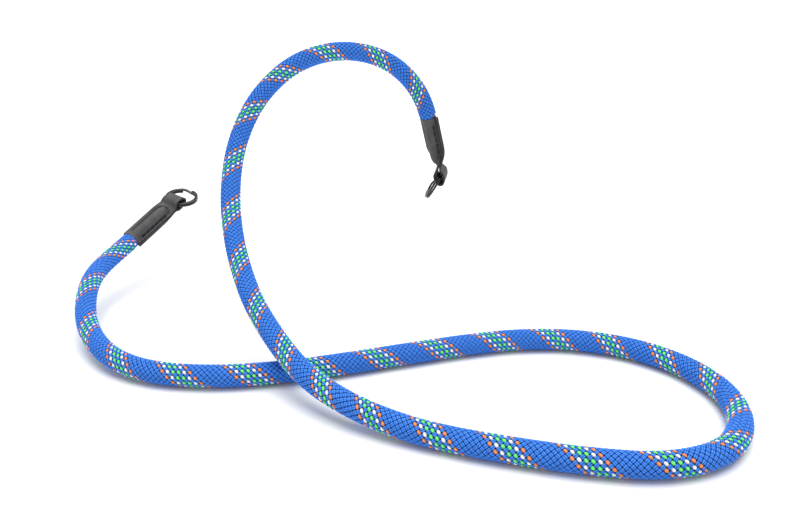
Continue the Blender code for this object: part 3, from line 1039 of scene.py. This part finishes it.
class STRAP_OT_leather(bpy.types.Operator):
    """Make the folded leather ends with their stitching"""

    bl_idname = "strap.leather"
    bl_label = "Leather Ends"

    def execute(self, context):
        settings = context.scene.strap_leather
        finishes = [leather_finish(), cut_edge_finish()]
        thread = thread_finish()
        for side in ENDS:
            strip = LeatherStrip(settings, LEATHER_ROWS, side)
            leather = self.add_leather(side, strip, settings, finishes)
            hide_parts(f"leather_end_{side}")
            self.add_threads(side, strip, settings, thread)
        return {"FINISHED"}

    def pressed_by_stitches(self, across, position, settings):
        """How much each place is pressed in, along all the stitching and under each stitch."""
        line = stitch_line(settings)
        stitches = along_line(line, stitch_distances(settings).ravel())
        places = np.stack((across.ravel(), position.ravel()), axis=1)
        found = []
        for targets, reach in ((line, CHANNEL_REACH), (stitches, DENT_REACH)):
            nearest = np.full(len(places), np.inf)
            for target in targets:
                nearest = np.minimum(nearest, np.hypot(*(places - target).T))
            shares = np.exp(-((nearest / (reach * settings.thread)) ** 2))
            found.append(shares.reshape(across.shape))
        return found

    def add_leather(self, side, strip, settings, finishes):
        """The folded strip: a grid laid on the strip's outer face, with a wall inwards from it."""
        rows, columns = LEATHER_ROWS, LEATHER_COLUMNS
        shares = np.linspace(-1.0, 1.0, columns)
        row = np.arange(rows)[:, None].repeat(columns, axis=1)
        across = strip.across(shares)
        face = strip.face(across, row)
        down = np.gradient(face, axis=0)
        right = np.gradient(face, axis=1)
        outward = np.cross(down, right)
        outward /= np.linalg.norm(outward, axis=2)[:, :, None]
        # the front half, which the first rows make, looks along +Y
        outward *= np.sign((outward * face)[: rows // 4, :, 1].sum())
        channel, groove = self.pressed_by_stitches(across, face[:, :, 2], settings)
        lip = np.exp(-((face[:, :, 2] / LIP_LENGTH) ** 4))
        depth = (CHANNEL_SHARE * channel + DENT_SHARE * groove) * settings.groove
        points = strip.twisted(face - outward * depth[:, :, None])

        shape = bmesh.new()
        bmesh.ops.create_grid(shape, x_segments=columns - 1, y_segments=rows - 1, size=0.5)
        shape.verts.ensure_lookup_table()
        places = np.array([vert.co for vert in shape.verts])
        column_of = np.rint((places[:, 0] + 0.5) * (columns - 1)).astype(int)
        row_of = np.rint((places[:, 1] + 0.5) * (rows - 1)).astype(int)
        for vert, place in zip(shape.verts, points[row_of, column_of]):
            vert.co = place
        mesh = bpy.data.meshes.new(f"leather_{side}")
        shape.to_mesh(mesh)
        shape.free()
        # the groove share also sets where the leather's finish paints shade in the stitch grooves
        for name, values in (("groove", groove), ("lip", lip)):
            found = values[row_of, column_of].astype(np.float32)
            mesh.attributes.new(name, "FLOAT", "POINT").data.foreach_set("value", found)
        inside = Vector(placed(strip.frame, np.array((0.0, 0.0, SLEEVE_MIDDLE))))
        polygon = mesh.polygons[len(mesh.polygons) // 8]
        if polygon.normal.dot(polygon.center - inside) < 0:
            mesh.flip_normals()
        mesh.shade_smooth()
        piece = show(f"leather_{side}", mesh, finishes)
        wall = piece.modifiers.new("wall", "SOLIDIFY")
        wall.thickness = settings.thickness
        wall.offset = -1.0
        wall.material_offset_rim = 1
        rounding = piece.modifiers.new("rounding", "BEVEL")
        rounding.width = settings.edge_rounding
        rounding.segments = 2
        rounding.limit_method = "ANGLE"
        rounding.angle_limit = math.radians(60)
        return piece

    def add_threads(self, side, strip, settings, finish):
        """Thread from hole to hole, lying in its groove and diving into the leather at its ends."""
        line = stitch_line(settings)
        steps = np.linspace(0.0, 1.0, STITCH_ROWS)
        turns = np.linspace(0.0, math.tau, THREAD_SIDES + 1)[:-1]
        depth = settings.groove - settings.thread * THREAD_RISE * np.sin(math.pi * steps) ** 0.5
        nudge = 1e-5
        tubes = []
        for half in (1.0, -1.0):
            for distances in stitch_distances(settings):
                across, position = along_line(line, distances).T
                arch = strip.seam + strip.bulge(across, position)
                before, after = (strip.bulge(across + way, position) for way in (-nudge, nudge))
                tilt = (after - before) / (2 * nudge)
                outward = unit(np.stack((-tilt, np.ones_like(tilt), np.zeros_like(tilt)), axis=1))
                centres = np.stack((across, arch, position), axis=1) - outward * depth[:, None]
                sideways, lift = section_ways(centres, outward)
                spokes = [math.cos(turn) * sideways + math.sin(turn) * lift for turn in turns]
                rings = [centres + settings.thread / 2 * spoke for spoke in spokes]
                rings = np.stack(rings, axis=1) * (1, half, 1)
                # the back half's are mirror images, which face outwards as they are
                if half > 0:
                    rings = rings[:, ::-1]
                uvs = np.empty((len(steps), len(turns), 2))
                uvs[:, :, 0] = (distances * 1000)[:, None]
                uvs[:, :, 1] = turns / math.tau
                tubes.append((strip.twisted(rings), uvs, np.ones((len(steps), len(turns)))))
        name = f"stitches_{side}"
        return show(name, joined_tubes(name, tubes), [finish])


class STRAP_OT_rings(bpy.types.Operator):
    """Wind the split rings from flat wire"""

    bl_idname = "strap.rings"
    bl_label = "Split Rings"

    def execute(self, context):
        settings = context.scene.strap_rings
        finish = nickel_finish()
        for side in ENDS:
            rings = placed(ring_frame(side), self.wire(settings, ENDS[side]["split_at"]))
            uvs = np.zeros((*rings.shape[:2], 2))
            mesh = joined_tubes(f"ring_{side}", [(rings, uvs, uvs[:, :, 0])])
            mesh.set_sharp_from_angle(angle=math.radians(50))
            piece = show(f"ring_{side}", mesh, [finish])
            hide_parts(f"split_ring_{side}")
        return {"FINISHED"}

    def wire(self, settings, split_at):
        """Rings of points along two flat turns, with one step from the lower to the upper turn."""
        half_step = settings.step_angle / 2
        mean_radius = (settings.outer_diameter - settings.wire_width) / 2
        rounding, back = np.array(WIRE_END).T
        plain = RING_ROWS - 2
        shrink = np.concatenate((rounding, np.ones(plain), rounding[::-1]))
        angle = np.linspace(half_step, 2 * math.tau - half_step, RING_ROWS)
        angle = np.pad(angle, len(back) - 1, mode="edge")
        angle = angle + np.concatenate((back, np.zeros(plain), -back[::-1])) / mean_radius
        climb = smooth_step((angle - math.tau + half_step) / settings.step_angle)
        height = (settings.wire_height + settings.turn_gap) * (climb - 0.5)
        turned = angle + math.radians(split_at)
        outward = np.stack((np.cos(turned), np.sin(turned), np.zeros_like(turned)), axis=1)
        upward = np.array((0.0, 0.0, 1.0))
        corners = np.linspace(math.tau, 0.0, RING_SIDES + 1)[:-1]
        x, y = (
            np.sign(values) * np.abs(values) ** (2 / WIRE_SQUARENESS)
            for values in (np.cos(corners), np.sin(corners))
        )
        spread = shrink[:, None] * x[None] * settings.wire_width / 2
        rise = shrink[:, None] * y[None] * settings.wire_height / 2
        middle = mean_radius * outward + height[:, None] * upward
        return middle[:, None] + spread[:, :, None] * outward[:, None] + rise[:, :, None] * upward


class STRAP_PT_sidebar(bpy.types.Panel):
    """Lists the pieces of the strap and their settings"""

    bl_idname = "STRAP_PT_sidebar"
    bl_label = "Rope Camera Strap"
    bl_space_type = "VIEW_3D"
    bl_region_type = "UI"
    bl_category = "Strap"

    def draw(self, context):
        for name, (kind, operator) in GROUPS.items():
            settings = getattr(context.scene, name)
            box = self.layout.box()
            for key in kind.__annotations__:
                box.prop(settings, key)
            box.operator(operator.bl_idname)


GROUPS = {
    "strap_stage": (StrapStageSettings, STRAP_OT_stage),
    "strap_rope": (StrapRopeSettings, STRAP_OT_rope),
    "strap_leather": (StrapLeatherSettings, STRAP_OT_leather),
    "strap_rings": (StrapRingSettings, STRAP_OT_rings),
}
CLASSES = [*(item for pair in GROUPS.values() for item in pair), STRAP_PT_sidebar]


def register():
    for item in CLASSES:
        bpy.utils.register_class(item)
    for name, (kind, operator) in GROUPS.items():
        setattr(bpy.types.Scene, name, PointerProperty(type=kind))


def unregister():
    for name in GROUPS:
        delattr(bpy.types.Scene, name)
    for item in reversed(CLASSES):
        bpy.utils.unregister_class(item)


def main():
    register()
    bpy.ops.strap.stage()
    bpy.ops.strap.rope()
    bpy.ops.strap.leather()
    bpy.ops.strap.rings()


if __name__ == "__main__":
    main()
